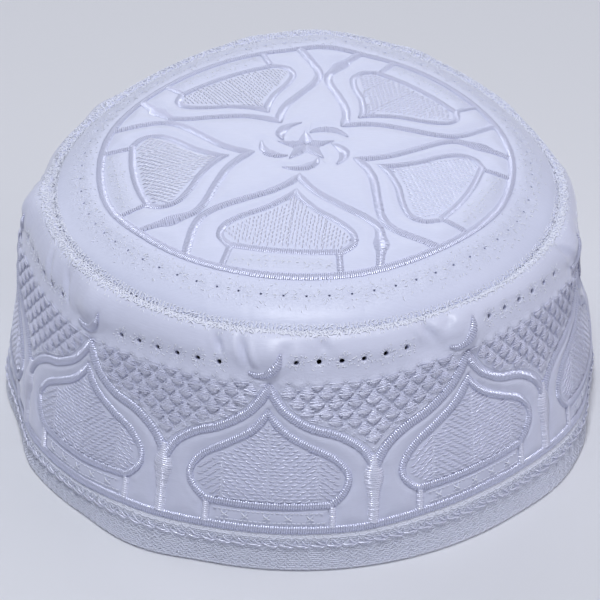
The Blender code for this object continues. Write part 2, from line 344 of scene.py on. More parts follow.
def crown_height(x, y):
    """Height of the solid crown over places measured from the crown's middle."""
    radius = np.hypot(x, y)
    bearing = np.degrees(np.arctan2(x, -y))
    height = np.interp(radius, crown_profile[:, 0], crown_profile[:, 1])
    share = np.interp(radius, crown_profile[:, 0], crown_shares)
    push = dent_push(CROWN_DENTS, bearing, radius, SEAM_RADIUS)
    push = push * (1.0 - bell(share, SEAM_CALM_SHARE))
    return height + push + back_lift(bearing) * (radius / SEAM_RADIUS) ** 4


def unit(vectors):
    return vectors / np.maximum(np.linalg.norm(vectors, axis=-1, keepdims=True), 1e-12)


def drifted(bearing, up):
    """Where a level of the embroidery really lies, in mm up the cloth."""
    table = np.array(DRIFT)
    drift = np.interp(bearing, table[:, 0], table[:, 1], period=360.0)
    fade = np.minimum(up / HEM_LINE_UP, 1.0) * np.clip((WALL_LENGTH * 1000.0 - up) / 9.0, 0.0, 1.0)
    return up + drift * fade


def bare_side(bearing, up):
    """Places and outward directions of the side's cloth before its quilting."""
    share = drifted(bearing, up) / (1000.0 * WALL_LENGTH)
    place = wall_point(bearing, share)
    around = wall_point(bearing + 0.5, share) - wall_point(bearing - 0.5, share)
    rise = (wall_point(bearing, np.minimum(share + 0.004, 1.0))
            - wall_point(bearing, np.maximum(share - 0.004, 0.0)))
    return place, unit(np.cross(around, rise))


def bare_crown(bearing, out):
    """Places and upward directions of the crown's cloth before its quilting."""
    x = 0.001 * out * np.sin(np.radians(bearing))
    y = -0.001 * out * np.cos(np.radians(bearing))
    step = 0.0004
    height = crown_height(x, y)
    slope_x = (crown_height(x + step, y) - crown_height(x - step, y)) / (2.0 * step)
    slope_y = (crown_height(x, y + step) - crown_height(x, y - step)) / (2.0 * step)
    up = unit(np.column_stack((-slope_x, -slope_y, np.ones_like(x))))
    return np.column_stack((x + CROWN_SHIFT, y, height)), up


# Flat drawing of the embroidery
def side_flat(rows):
    """Degrees and mm up, to mm across and up."""
    flat = np.array(rows, dtype=float)
    flat[:, 0] *= SIDE_MM_PER_DEGREE
    return flat


def crown_flat(rows):
    """Degrees and mm out, to mm across and along the crown's plane."""
    flat = np.array(rows, dtype=float)
    turn = np.radians(flat[:, 0])
    out = flat[:, 1].copy()
    flat[:, 0] = out * np.sin(turn)
    flat[:, 1] = -out * np.cos(turn)
    return flat


def drawn(flat_rows):
    """A smooth line through flat rows, with a place about every quarter of a millimetre."""
    count = max(int(knots_of(flat_rows)[-1] / 0.25), 2)
    return smooth_point(flat_rows, np.linspace(0.0, 1.0, count))


def nearest(places, line, with_width=True):
    """Distance in mm from each flat place to a line's edge or middle, and how far it is above."""
    result = np.empty(len(places))
    above = np.empty(len(places))
    for start in range(0, len(places), 4000):
        part = places[start:start + 4000]
        gap = np.hypot(part[:, None, 0] - line[None, :, 0], part[:, None, 1] - line[None, :, 1])
        if with_width:
            gap = gap - line[None, :, 2]
        spot = gap.argmin(axis=1)
        result[start:start + 4000] = gap[np.arange(len(part)), spot]
        above[start:start + 4000] = line[spot, 1] - part[:, 1]
    return result, above


def inside(places, outline):
    """Which flat places lie within a closed outline."""
    odd = np.zeros(len(places), dtype=bool)
    x, y = places[:, 0], places[:, 1]
    for (x0, y0), (x1, y1) in zip(outline, np.roll(outline, -1, axis=0)):
        crosses = (y0 > y) != (y1 > y)
        with np.errstate(divide="ignore", invalid="ignore"):
            at = x0 + (y - y0) / (y1 - y0) * (x1 - x0)
        odd ^= crosses & (x < at)
    return odd


def turned(line, degrees):
    """A flat crown line turned about the crown's middle, towards +X at the front."""
    angle = radians(degrees)
    result = line.copy()
    result[:, 0] = line[:, 0] * np.cos(angle) - line[:, 1] * np.sin(angle)
    result[:, 1] = line[:, 0] * np.sin(angle) + line[:, 1] * np.cos(angle)
    return result


def dome_of(lines):
    """The outline of a dome without its base, and all its lines."""
    outline = np.vstack((lines["dome_left"][::-1], lines["dome_right"]))[:, :2]
    return outline, np.vstack([lines["dome_" + end] for end in ("left", "right", "base")])


half_bay = 0.5 * BAY_WIDTH * SIDE_MM_PER_DEGREE
side_drawn = {name: drawn(side_flat(rows)) for name, rows in SIDE_LINES.items()}
stem_left = side_drawn["stem"] * (-1.0, 1.0, 1.0)
hem_rows = [(way * (half_bay + 1.0), HEM_LINE_UP, 0.95) for way in (-1.0, 1.0)]
side_web = np.vstack([*side_drawn.values(), stem_left, drawn(np.array(hem_rows))])
side_arch = np.vstack((side_drawn["arch_left"][::-1], side_drawn["arch_right"]))
side_dome, side_dome_lines = dome_of(side_drawn)

crown_drawn = {name: drawn(crown_flat(rows)) for name, rows in CROWN_LINES.items()}
ring_rows = [(bearing, CROWN_RING_RADIUS, 0.95) for bearing in np.linspace(-37.0, 37.0, 12)]
next_arm = turned(crown_drawn["star_arm"], -MOTIF_WIDTH)
crown_web = np.vstack([*crown_drawn.values(), drawn(crown_flat(ring_rows)), next_arm])
crown_dome, crown_dome_lines = dome_of(crown_drawn)

BAY_BEARINGS = [FIRST_BAY_BEARING + bay * BAY_WIDTH for bay in range(BAYS)]
MOTIF_BEARINGS = [FIRST_MOTIF_BEARING + motif * MOTIF_WIDTH for motif in range(CROWN_MOTIFS)]
EYELETS = np.array([(middle + turn + (number - 0.5 * (EYELETS_PER_BAY - 1)) * EYELET_PITCH, up)
                    for middle, (turn, up) in zip(BAY_BEARINGS, EYELET_ROWS)
                    for number in range(EYELETS_PER_BAY)])


def quilted_share(flat, arch_gap):
    """1 in the quilted diamonds of the side, 0 outside them."""
    over_arch = flat[:, 1] > np.interp(flat[:, 0], side_arch[:, 0], side_arch[:, 1])
    return (over_arch * np.clip((arch_gap - 1.6) / 0.8, 0.0, 1.0)
            * np.clip((LATTICE_TOP + 0.4 - flat[:, 1]) / 1.2, 0.0, 1.0))


DIAMOND_WIDTH = BAY_WIDTH * SIDE_MM_PER_DEGREE / 11.0
DIAMOND_HEIGHT = 6.1


def fading(gap, reach):
    """1 at no gap, nearly 0 at twice the reach."""
    return np.exp(-(gap / reach) ** 2)


def sewn_down(gap, rise, rise_reach, sink, sink_reach):
    """How far cloth puffs up between its lines, and its level at and beside them, in mm."""
    puff = rise * (1.0 - fading(np.maximum(gap, 0.0), rise_reach))
    return puff, -sink * fading(gap, sink_reach) + 0.30 * np.clip(-gap, 0.0, 1.0)


def held_at_seam(relief, broken, room):
    """Calms the relief and breaks the surface in the last 2.5 mm before the seam."""
    calm = np.clip(room / 2.5, 0.0, 1.0)
    return relief * calm, np.maximum(broken, 1.0 - calm)


def side_relief(bearing, up):
    """How far the quilted cloth of the side stands out, in mm, and how broken its surface is."""
    flat = np.column_stack((in_bay(bearing) * SIDE_MM_PER_DEGREE, up))
    gap, above = nearest(flat, side_web)
    quilted = quilted_share(flat, nearest(flat, side_arch)[0])
    puff, lines = sewn_down(gap, 0.55, 2.2, 0.22, 0.55)
    puff = puff + 0.34 * np.clip(above / 1.5, 0.0, 1.0) * fading(gap - 1.1, 0.9)
    one = flat[:, 0] / DIAMOND_WIDTH + flat[:, 1] / DIAMOND_HEIGHT
    other = flat[:, 0] / DIAMOND_WIDTH - flat[:, 1] / DIAMOND_HEIGHT
    pillow = np.abs(np.sin(pi * one) * np.sin(pi * other)) ** 0.4
    diamond = 1.2 * pillow - 0.46
    calm = np.where(inside(flat, side_dome), 0.35, 1.0)
    relief = lines + puff * calm * (1.0 - quilted) + diamond * quilted
    strip = bell(up - 0.5 * (HEM_LINE_UP + 21.6), 4.4) * (np.abs(in_bay(bearing)) < 11.6)
    relief = relief - 0.15 * strip
    loose = 0.7 * bell(up - LATTICE_TOP - 3.0, 6.0) * (1.0 - quilted)
    relief = relief - loose * np.clip(gap / 1.5, 0.0, 1.0) * (up > LATTICE_TOP - 2.0)
    over_top = bell(up - LATTICE_TOP, 4.0) * (gap > 0.5) * (flat[:, 1] > LATTICE_TOP)
    broken = np.maximum(quilted, 0.5 * over_top)
    for eyelet, eyelet_up in EYELETS:
        eyelet_gap = np.hypot(degrees_between(bearing, eyelet) * EYELET_MM_PER_DEGREE,
                              up - eyelet_up)
        relief = relief - 0.45 * fading(eyelet_gap, 1.4)
        broken = np.maximum(broken, fading(eyelet_gap, 2.6))
    for top, top_up, foot, foot_up, depth, half_width in CREASES:
        t = np.clip((top_up - up) / (top_up - foot_up), 0.0, 1.0)
        middle = top + (foot - top) * t
        across = np.abs(degrees_between(bearing, middle)) * CREASE_MM_PER_DEGREE
        ends = bell(up - 0.5 * (top_up + foot_up), 0.62 * (top_up - foot_up))
        relief = relief - depth * ends * fading(across, half_width)
        relief = relief + 0.45 * depth * ends * fading(across - 2.2 * half_width, half_width)
    return held_at_seam(relief, broken, 1000.0 * WALL_LENGTH - up)


def crown_relief(bearing, out):
    """How far the quilted cloth of the crown stands up, in mm, and how broken its surface is."""
    across = in_repeat(bearing, FIRST_MOTIF_BEARING, MOTIF_WIDTH)
    flat = crown_flat(np.column_stack((across, out)))
    gap, _ = nearest(flat, crown_web)
    puff, lines = sewn_down(gap, 0.60, 2.4, 0.14, 0.6)
    relief = lines + puff * np.where(inside(flat, crown_dome), 0.35, 1.0)
    strip = bell(flat[:, 1] + 56.6, 5.2) * (np.abs(flat[:, 0]) < 16.0)
    broken = np.maximum(bell(out - CROWN_EYELET_RADIUS, 6.5), strip)
    off = in_repeat(bearing, 0.0, 360.0 / CROWN_EYELETS)
    eyelet_gap = np.hypot(off * CROWN_EYELET_MM_PER_DEGREE, out - CROWN_EYELET_RADIUS)
    relief = relief - 0.35 * fading(eyelet_gap, 1.2)
    return held_at_seam(relief, broken, 1000.0 * SEAM_RADIUS - out)


def on_side(bearing, up, proud=0.0):
    """Places on the quilted side, proud of it by some mm, and the cloth's outward directions."""
    place, out = bare_side(bearing, up)
    return place + out * (0.001 * (side_relief(bearing, up)[0] + proud))[:, None], out


def on_crown(bearing, out, proud=0.0):
    place, up = bare_crown(bearing, out)
    return place + up * (0.001 * (crown_relief(bearing, out)[0] + proud))[:, None], up


# Cloth walls
COLUMNS = 720
CROWN_COLUMNS = 576
INNER_COLUMNS = 144
UNROLLED_RADIUS = 0.084
ROUND_LENGTH = 2.0 * pi * UNROLLED_RADIUS
HEM_JOIN_UP = 13.3
fine_bearings = 180.0 + np.arange(COLUMNS) * 360.0 / COLUMNS
coarse_bearings = 180.0 + np.arange(INNER_COLUMNS) * 360.0 / INNER_COLUMNS


def cloth_wall(name, material, outside, inside_rings, flats, quilted=None,
               closed_middle=False):
    """A closed cloth wall from its outside rings and its coarser inside rings.

    Every ring is an array of places; the inside rings have fewer of them, by a whole number.
    """
    columns = len(outside[0])
    inner_columns = len(inside_rings[0])
    times = columns // inner_columns
    places = list(outside) + list(inside_rings)
    faces = []
    rows = len(outside)
    first_inner = rows * columns

    def bands(start, count, rings):
        for low in range(start, start + (rings - 1) * count, count):
            high = low + count
            for column in range(count):
                after = (column + 1) % count
                faces.append((low + column, low + after, high + after, high + column))

    bands(0, columns, rows)
    bands(first_inner, inner_columns, len(inside_rings))
    last_outer = (rows - 1) * columns
    last_inner = first_inner + (len(inside_rings) - 1) * inner_columns

    def bridge(outer_start, inner_start, flip):
        for column in range(inner_columns):
            here = inner_start + column
            after = inner_start + (column + 1) % inner_columns
            fine = [outer_start + (column * times + step) % columns for step in range(times + 1)]
            for step in range(times):
                corner = here if step < times // 2 + 1 else after
                face = (fine[step], fine[step + 1], corner)
                faces.append(face[::-1] if flip else face)
            face = (here, fine[times // 2 + 1], after)
            faces.append(face[::-1] if flip else face)

    bridge(0, last_inner, True)
    if closed_middle:
        top = first_inner + len(inside_rings) * inner_columns
        places.append(outside[-1].mean(axis=0, keepdims=True))
        places.append(inside_rings[0].mean(axis=0, keepdims=True))
        for column in range(columns):
            faces.append((last_outer + column, last_outer + (column + 1) % columns, top))
        for column in range(inner_columns):
            after = (column + 1) % inner_columns
            faces.append((first_inner + after, first_inner + column, top + 1))
    else:
        bridge(last_outer, first_inner, False)
    mesh = bpy.data.meshes.new(name)
    mesh.from_pydata(np.vstack(places).tolist(), [], faces)
    mesh.update()
    cloth = np.zeros((len(mesh.vertices), 2))
    cloth[:first_inner] = np.vstack(flats)
    corner = np.empty(len(mesh.loops), dtype=np.int32)
    mesh.loops.foreach_get("vertex_index", corner)
    spread = cloth[corner]
    quads = spread[:4 * columns * (rows - 1)].reshape(-1, 4, 2)
    wrap = quads[:, :, 0].max(axis=1) - quads[:, :, 0].min(axis=1) > 0.3
    quads[wrap, :, 0] = np.where(quads[wrap, :, 0] < quads[wrap, :, 0].mean(axis=1)[:, None],
                                 quads[wrap, :, 0] + ROUND_LENGTH, quads[wrap, :, 0])
    layer = mesh.uv_layers.new(name="cloth")
    layer.data.foreach_set("uv", spread.astype(np.float32).ravel())
    if quilted is not None:
        share = np.zeros(len(mesh.vertices), dtype=np.float32)
        share[:first_inner] = np.concatenate(quilted)
        mesh.attributes.new("quilted", "FLOAT", "POINT").data.foreach_set("value", share)
    mesh.materials.append(material)
    mesh.shade_smooth()
    return add_object(name, mesh)


def plain_rings(bare, bearings, levels, inward):
    """Rings of the cloth's inside, which has no quilting."""
    rings = []
    for level in levels:
        place, out = bare(bearings, np.full(len(bearings), level))
        rings.append(place - out * inward)
    return rings


def unrolled(up):
    """One ring of the side's cloth laid flat, in metres, at mm up the cloth."""
    return np.column_stack((radians(1.0) * fine_bearings * UNROLLED_RADIUS,
                            np.full(COLUMNS, 0.001 * up)))


def side_cloth(material):
    """The flared side with its quilting, from the hem line up to the seam."""
    foot = HEM_JOIN_UP + 0.1
    top = 1000.0 * WALL_LENGTH - 0.1
    levels = np.concatenate((np.linspace(foot, LATTICE_TOP, 64),
                             np.linspace(LATTICE_TOP, top, 22)[1:]))
    rings, flats, shares = [], [], []
    for level in levels:
        up = np.full(COLUMNS, level)
        place, out = bare_side(fine_bearings, up)
        relief, quilted = side_relief(fine_bearings, up)
        rings.append(place + out * (0.001 * relief)[:, None])
        flats.append(unrolled(level))
        shares.append(quilted)
    inner = plain_rings(bare_side, coarse_bearings, np.linspace(top, foot, 13), WALL_THICKNESS)
    return cloth_wall("side_cloth", material, rings, inner, flats, shares)


def rim_cloth(material):
    """The folded band below the hem line, flat where it stands."""
    place, _ = bare_side(fine_bearings, np.zeros(COLUMNS))
    inner_place, _ = bare_side(coarse_bearings, np.zeros(INNER_COLUMNS))

    def at_base(ring, inset, height):
        keep = 1.0 - inset / np.hypot(ring[:, 0], ring[:, 1])
        return np.column_stack((ring[:, 0] * keep, ring[:, 1] * keep, np.full(len(ring), height)))

    rings = [at_base(place, RIM_EDGE_RADIUS, 0.0), at_base(place, 0.25 * RIM_EDGE_RADIUS, 0.00022)]
    flats = [unrolled(-0.5), unrolled(0.0)]
    top = HEM_JOIN_UP - 0.1
    for level in np.linspace(0.7, top, 21):
        spot, out = bare_side(fine_bearings, np.full(COLUMNS, level))
        relief = (0.30 * bell(level - 11.3, 2.4) - 0.12 * bell(level - 8.4, 0.9)
                  - 0.2 * bell(level - 13.6, 1.0)) * np.clip(level - 0.7, 0.0, 1.0)
        rings.append(spot + out * (0.001 * relief))
        flats.append(unrolled(level))
    inner = plain_rings(bare_side, coarse_bearings, (top, 9.0, 5.0, 2.0), RIM_BAND_THICKNESS)
    inner.append(at_base(inner_place, RIM_BAND_THICKNESS, RIM_EDGE_RADIUS))
    inner.append(at_base(inner_place, RIM_BAND_THICKNESS - RIM_EDGE_RADIUS, 0.0))
    return cloth_wall("rim_cloth", material, rings, inner, flats)


def crown_cloth(material):
    """The round top with its quilting."""
    fine = np.arange(CROWN_COLUMNS) * 360.0 / CROWN_COLUMNS
    coarse = np.arange(INNER_COLUMNS) * 360.0 / INNER_COLUMNS
    edge = 1000.0 * SEAM_RADIUS - 0.1
    levels = np.concatenate(([edge, edge - 0.5], np.linspace(edge - 1.2, 1.2, 80), [0.5]))
    rings, flats, shares = [], [], []
    for level in levels:
        out = np.full(CROWN_COLUMNS, level)
        place, up = bare_crown(fine, out)
        relief, broken = crown_relief(fine, out)
        rings.append(place + up * (0.001 * relief)[:, None])
        flats.append(place[:, :2])
        shares.append(broken)
    inner_levels = (0.8, 10.0, 22.0, 34.0, 46.0, 56.0, 64.0, 70.0, 73.4, edge - 0.3)
    inner = plain_rings(bare_crown, coarse, inner_levels, CROWN_THICKNESS)
    return cloth_wall("crown_cloth", material, rings, inner, flats, shares, closed_middle=True)


def pierced(cloth, places, outs, width):
    """Cuts round eyelets through a cloth wall."""
    pins = []
    faces = []
    sides = 10
    for place, out in zip(places, outs):
        side = unit(np.cross(out, (0.0, 0.0, 1.0) if abs(out[2]) < 0.9 else (0.0, 1.0, 0.0)))
        up = np.cross(out, side)
        start = len(pins)
        for depth in (-0.004, 0.004):
            for corner in range(sides):
                angle = 2.0 * pi * corner / sides
                ray = side * np.cos(angle) + up * np.sin(angle)
                pins.append(place + out * depth + 0.5 * width * ray)
        for corner in range(sides):
            after = (corner + 1) % sides
            faces.append((start + corner, start + after, start + sides + after,
                          start + sides + corner))
        faces.append(tuple(start + corner for corner in reversed(range(sides))))
        faces.append(tuple(start + sides + corner for corner in range(sides)))
    mesh = bpy.data.meshes.new("eyelet_pins")
    mesh.from_pydata([tuple(pin) for pin in pins], [], faces)
    mesh.update()
    cutter = add_object("eyelet_pins", mesh)
    cut = cloth.modifiers.new("eyelets", "BOOLEAN")
    cut.operation = "DIFFERENCE"
    cut.solver = "MANIFOLD"
    cut.object = cutter
    apply_modifiers(cloth)
    bpy.data.objects.remove(cutter)


def apply_modifiers(thing):
    graph = bpy.context.evaluated_depsgraph_get()
    mesh = bpy.data.meshes.new_from_object(thing.evaluated_get(graph), depsgraph=graph)
    thing.modifiers.clear()
    old = thing.data
    thing.data = mesh
    bpy.data.meshes.remove(old)
    mesh.name = thing.name


# Nodes
def add_node(tree, kind, inputs=None, **settings):
    """Adds a node with its settings; each input is a value, or a socket to link."""
    node = tree.nodes.new(kind)
    for name, value in settings.items():
        setattr(node, name, value)
    for key, value in (inputs or {}).items():
        if isinstance(value, bpy.types.NodeSocket):
            tree.links.new(value, node.inputs[key])
        else:
            node.inputs[key].default_value = value
    return node


def linear(hex_colour):
    """An sRGB hex colour as linear RGBA."""
    parts = [int(hex_colour[start:start + 2], 16) / 255.0 for start in (1, 3, 5)]
    parts = [part / 12.92 if part <= 0.04045 else ((part + 0.055) / 1.055) ** 2.4
             for part in parts]
    return (*parts, 1.0)


def stitch_tree():
    """Lays one stitch on every place of a guide, or at a pitch along its lines."""
    tree = bpy.data.node_groups.new("laid_stitches", "GeometryNodeTree")
    face = tree.interface
    face.new_socket("Geometry", in_out="INPUT", socket_type="NodeSocketGeometry")
    for name, kind in (("Along Lines", "Bool"), ("Pitch", "Float"), ("Length", "Float"),
                       ("Thread", "Float"), ("Rise", "Float"), ("Sink", "Float"),
                       ("Turn", "Float"), ("Jitter", "Float"), ("Spread", "Float"),
                       ("Square", "Float"), ("Steps", "Int"), ("Sides", "Int"), ("Seed", "Int"),
                       ("Material", "Material")):
        face.new_socket(name, in_out="INPUT", socket_type="NodeSocket" + kind)
    face.new_socket("Geometry", in_out="OUTPUT", socket_type="NodeSocketGeometry")
    given = add_node(tree, "NodeGroupInput").outputs

    half = add_node(tree, "ShaderNodeMath", {0: given["Length"], 1: 0.5}, operation="MULTIPLY")
    minus = add_node(tree, "ShaderNodeMath", {0: half.outputs[0], 1: -1.0}, operation="MULTIPLY")
    dip = add_node(tree, "ShaderNodeMath", {0: given["Sink"], 1: -1.0}, operation="MULTIPLY")
    start = add_node(tree, "ShaderNodeCombineXYZ", {"X": minus.outputs[0], "Z": dip.outputs[0]})
    end = add_node(tree, "ShaderNodeCombineXYZ", {"X": half.outputs[0], "Z": dip.outputs[0]})
    corners = []
    for side in (minus, half):
        across = add_node(tree, "ShaderNodeMath", {0: side.outputs[0], 1: given["Square"]},
                          operation="MULTIPLY")
        corners.append(add_node(tree, "ShaderNodeCombineXYZ",
                                {"X": across.outputs[0], "Z": given["Rise"]}))
    bow = add_node(tree, "GeometryNodeCurvePrimitiveBezierSegment",
                   {"Resolution": given["Steps"], "Start": start.outputs[0],
                    "Start Handle": corners[0].outputs[0], "End Handle": corners[1].outputs[0],
                    "End": end.outputs[0]})
    radius = add_node(tree, "ShaderNodeMath", {0: given["Thread"], 1: 0.5}, operation="MULTIPLY")
    round_thread = add_node(tree, "GeometryNodeCurvePrimitiveCircle",
                            {"Resolution": given["Sides"], "Radius": radius.outputs[0]})
    stitch = add_node(tree, "GeometryNodeCurveToMesh",
                      {"Curve": bow.outputs[0], "Profile Curve": round_thread.outputs[0],
                       "Fill Caps": True})
    smooth = add_node(tree, "GeometryNodeSetShadeSmooth", {"Geometry": stitch.outputs[0]})

    lines = add_node(tree, "GeometryNodeMeshToCurve", {"Mesh": given["Geometry"]})
    paced = add_node(tree, "GeometryNodeResampleCurve",
                     {"Curve": lines.outputs[0], "Length": given["Pitch"]}, mode="LENGTH")
    places = add_node(tree, "GeometryNodeSwitch",
                      {"Switch": given["Along Lines"], "False": given["Geometry"],
                       "True": paced.outputs[0]}, input_type="GEOMETRY")
    along = add_node(tree, "GeometryNodeInputNamedAttribute", {"Name": "along"},
                     data_type="FLOAT_VECTOR")
    tangent = add_node(tree, "GeometryNodeInputTangent")
    heading = add_node(tree, "GeometryNodeSwitch",
                       {"Switch": given["Along Lines"], "False": along.outputs[0],
                        "True": tangent.outputs[0]}, input_type="VECTOR")
    cloth_up = add_node(tree, "GeometryNodeInputNamedAttribute", {"Name": "cloth_up"},
                        data_type="FLOAT_VECTOR")
    laid = add_node(tree, "FunctionNodeAxesToRotation",
                    {"Primary Axis": cloth_up.outputs[0], "Secondary Axis": heading.outputs[0]},
                    primary_axis="Z", secondary_axis="X")
    low = add_node(tree, "ShaderNodeMath", {0: given["Jitter"], 1: -1.0}, operation="MULTIPLY")
    stray = add_node(tree, "FunctionNodeRandomValue",
                     {2: low.outputs[0], 3: given["Jitter"], "Seed": given["Seed"]})
    angle = add_node(tree, "ShaderNodeMath", {0: given["Turn"], 1: stray.outputs[1]},
                     operation="ADD")
    spin = add_node(tree, "FunctionNodeAxisAngleToRotation",
                    {"Axis": (0.0, 0.0, 1.0), "Angle": angle.outputs[0]})
    facing = add_node(tree, "FunctionNodeRotateRotation",
                      {"Rotation": laid.outputs[0], "Rotate By": spin.outputs[0]},
                      rotation_space="LOCAL")
    reach = add_node(tree, "GeometryNodeInputNamedAttribute", {"Name": "reach"},
                     data_type="FLOAT")
    uneven = add_node(tree, "FunctionNodeRandomValue",
                      {2: 0.94, 3: 1.06, "Seed": given["Seed"]})
    length = add_node(tree, "ShaderNodeMath", {0: reach.outputs[0], 1: uneven.outputs[1]},
                      operation="MULTIPLY")
    low_end = add_node(tree, "ShaderNodeMath", {0: length.outputs[0], 1: 0.5}, operation="POWER")
    size = add_node(tree, "ShaderNodeCombineXYZ",
                    {"X": length.outputs[0], "Y": given["Spread"], "Z": low_end.outputs[0]})
    laid_out = add_node(tree, "GeometryNodeInstanceOnPoints",
                        {"Points": places.outputs[0], "Instance": smooth.outputs[0],
                         "Rotation": facing.outputs[0], "Scale": size.outputs[0]})
    real = add_node(tree, "GeometryNodeRealizeInstances", {"Geometry": laid_out.outputs[0]})
    coloured = add_node(tree, "GeometryNodeSetMaterial",
                    {"Geometry": real.outputs[0], "Material": given["Material"]})
    add_node(tree, "NodeGroupOutput", {"Geometry": coloured.outputs[0]})
    return tree


def lay_stitches(name, guides, material, **sizes):
    """A piece of real stitches. Each guide is (places, outward directions, reach, heading).

    Guides with a heading are single stitches, and those without are lines to follow.
    """
    along_lines = guides[0][3] is None
    places = np.vstack([guide[0] for guide in guides])
    edges = []
    if along_lines:
        start = 0
        for guide in guides:
            count = len(guide[0])
            edges += [(start + step, start + step + 1) for step in range(count - 1)]
            start += count
    mesh = bpy.data.meshes.new(name)
    mesh.from_pydata(places.tolist(), edges, [])
    for key, column in (("cloth_up", 1), ("along", 3)):
        if guides[0][column] is not None:
            values = np.vstack([guide[column] for guide in guides])
            layer = mesh.attributes.new(key, "FLOAT_VECTOR", "POINT")
            layer.data.foreach_set("vector", values.astype(np.float32).ravel())
    reach = np.concatenate([guide[2] for guide in guides]).astype(np.float32)
    mesh.attributes.new("reach", "FLOAT", "POINT").data.foreach_set("value", reach)
    piece = add_object(name, mesh)
    modifier = piece.modifiers.new("stitches", "NODES")
    modifier.node_group = STITCHES
    values = {"Along Lines": along_lines, "Pitch": 0.001, "Sink": 0.0002, "Turn": 0.0,
              "Jitter": 0.07, "Spread": 1.0, "Square": 0.35, "Steps": 3, "Sides": 3, "Seed": 3,
              "Material": material, **sizes}
    for item in STITCHES.interface.items_tree:
        if item.in_out == "INPUT" and item.name in values:
            modifier[item.identifier] = values[item.name]
    apply_modifiers(piece)
    return piece


# Guides for the stitches
def side_spot(flat, middle):
    """Bearings and mm up of flat places in the bay with this middle."""
    return middle + flat[:, 0] / SIDE_MM_PER_DEGREE, flat[:, 1]


def crown_spot(flat, middle):
    """Bearings and mm out of flat places in the crown motif with this middle."""
    spun = turned(flat, middle)
    return np.degrees(np.arctan2(spun[:, 0], -spun[:, 1])), np.hypot(spun[:, 0], spun[:, 1])


SIDE = (side_spot, bare_side, on_side)
CROWN = (crown_spot, bare_crown, on_crown)


def line_guide(part, flat, middle, proud, widest):
    """A flat line laid on the cloth, for stitches as wide as its column says."""
    spot, bare, _ = part
    place, out = bare(*spot(flat, middle))
    return place + out * (0.001 * proud), out, flat[:, 2] / widest, None


def single_guides(part, flat, angles, reach, middle, proud):
    """Single stitches at flat places on the quilting, turned by angles from level."""
    spot, _, quilted = part
    step = 0.3 * np.column_stack((np.cos(angles), np.sin(angles)))
    place, out = quilted(*spot(flat, middle), proud)
    ahead, _ = quilted(*spot(flat + step, middle), proud)
    behind, _ = quilted(*spot(flat - step, middle), proud)
    return place, out, reach, unit(ahead - behind)


def fill_stitches(outline, line, splits, slants, foot, top, row_step, dash, upright=False):
    """Rows of dashes that fill a dome, like bricks, slanted another way in each facet.

    The rows are level, or upright. Returns the dashes' flat places, their angles and their
    lengths as shares of a dash.
    """
    bounds = [-30.0, *splits, 30.0]
    rows = []
    for facet, slant in enumerate(slants):
        low, high = bounds[facet], bounds[facet + 1]
        if upright:
            for number, across in enumerate(np.arange(low + 0.5 * row_step, high, row_step)):
                levels = np.arange(foot + 0.5 * dash * (number % 2), top, dash)
                rows.append(np.column_stack((np.full(len(levels), across), levels,
                                             np.full(len(levels), dash),
                                             np.full(len(levels), radians(slant)))))
            continue
        anchor = high if facet == 0 else low
        for number, level in enumerate(np.arange(foot, top, row_step)):
            cuts = anchor + dash * (np.arange(-25, 26) + 0.5 * (number % 2))
            cuts = cuts[(cuts > low + 0.5) & (cuts < high - 0.5)]
            cuts = np.concatenate(([low], cuts, [high]))
            spans = np.diff(cuts)
            rows.append(np.column_stack((cuts[1:] - 0.5 * spans, np.full(len(spans), level),
                                         spans, np.full(len(spans), radians(slant)))))
    spots = np.vstack(rows)
    ends = 0.4 * spots[:, 2:3] * np.column_stack((np.cos(spots[:, 3]), np.sin(spots[:, 3])))
    keep = np.ones(len(spots), dtype=bool)
    for end in (spots[:, :2] + ends, spots[:, :2] - ends):
        keep &= inside(end, outline) & (nearest(end, line, False)[0] > 1.2)
    spots = spots[keep]
    places = spots[:, :2] + np.random.default_rng(7).uniform(-0.13, 0.13, (len(spots), 2))
    return places, spots[:, 3], spots[:, 2] / dash


def clipped(flat, keep):
    """The stretches of a flat line that are kept, but for those of fewer than 8 places."""
    kept = np.flatnonzero(keep)
    runs = np.split(kept, np.flatnonzero(np.diff(kept) > 1) + 1)
    return [flat[run] for run in runs if len(run) >= 8]


def lattice_lines():
    """The crossing lines of one bay's diamonds, and the run line outside its arch."""
    lines = []
    levels = np.arange(LATTICE_FOOT, LATTICE_TOP + 0.2, 0.25)
    for way in (1.0, -1.0):
        for number in range(-14, 30):
            across = way * (number - levels / DIAMOND_HEIGHT) * DIAMOND_WIDTH
            flat = np.column_stack((across, levels))
            arch_level = np.interp(across, side_arch[:, 0], side_arch[:, 1])
            keep = (np.abs(across) <= half_bay) & (levels > arch_level)
            keep &= nearest(flat, side_arch, False)[0] > 3.0
            lines += clipped(flat, keep)
    return lines


def offset_line(line, distance):
    """A flat line moved sideways."""
    slope = np.gradient(line[:, :2], axis=0)
    normal = unit(np.column_stack((-slope[:, 1], slope[:, 0])))
    return line[:, :2] + distance * normal


def round_line(bare, level, proud, reach):
    """A line all round the side or the crown, to follow."""
    bearing = np.append(np.arange(0.0, 360.0, 0.5), 360.0)
    place, out = bare(bearing, np.full(len(bearing), level))
    return place + out * (0.001 * proud), out, np.full(len(bearing), reach), None


def level_singles(up, pitch_mm, angles, reach, proud, shift=0.0):
    """Single stitches at a level of the side, a pitch apart, whose angles take turns."""
    count = int(round(360.0 * SIDE_MM_PER_DEGREE / pitch_mm / len(angles))) * len(angles)
    bearing = (np.arange(count) + shift) * 360.0 / count
    flat = np.column_stack((bearing * SIDE_MM_PER_DEGREE, np.full(count, up)))
    turn = np.radians(np.resize(np.array(angles), count))
    return single_guides(SIDE, flat, turn, np.full(count, reach), 0.0, proud)


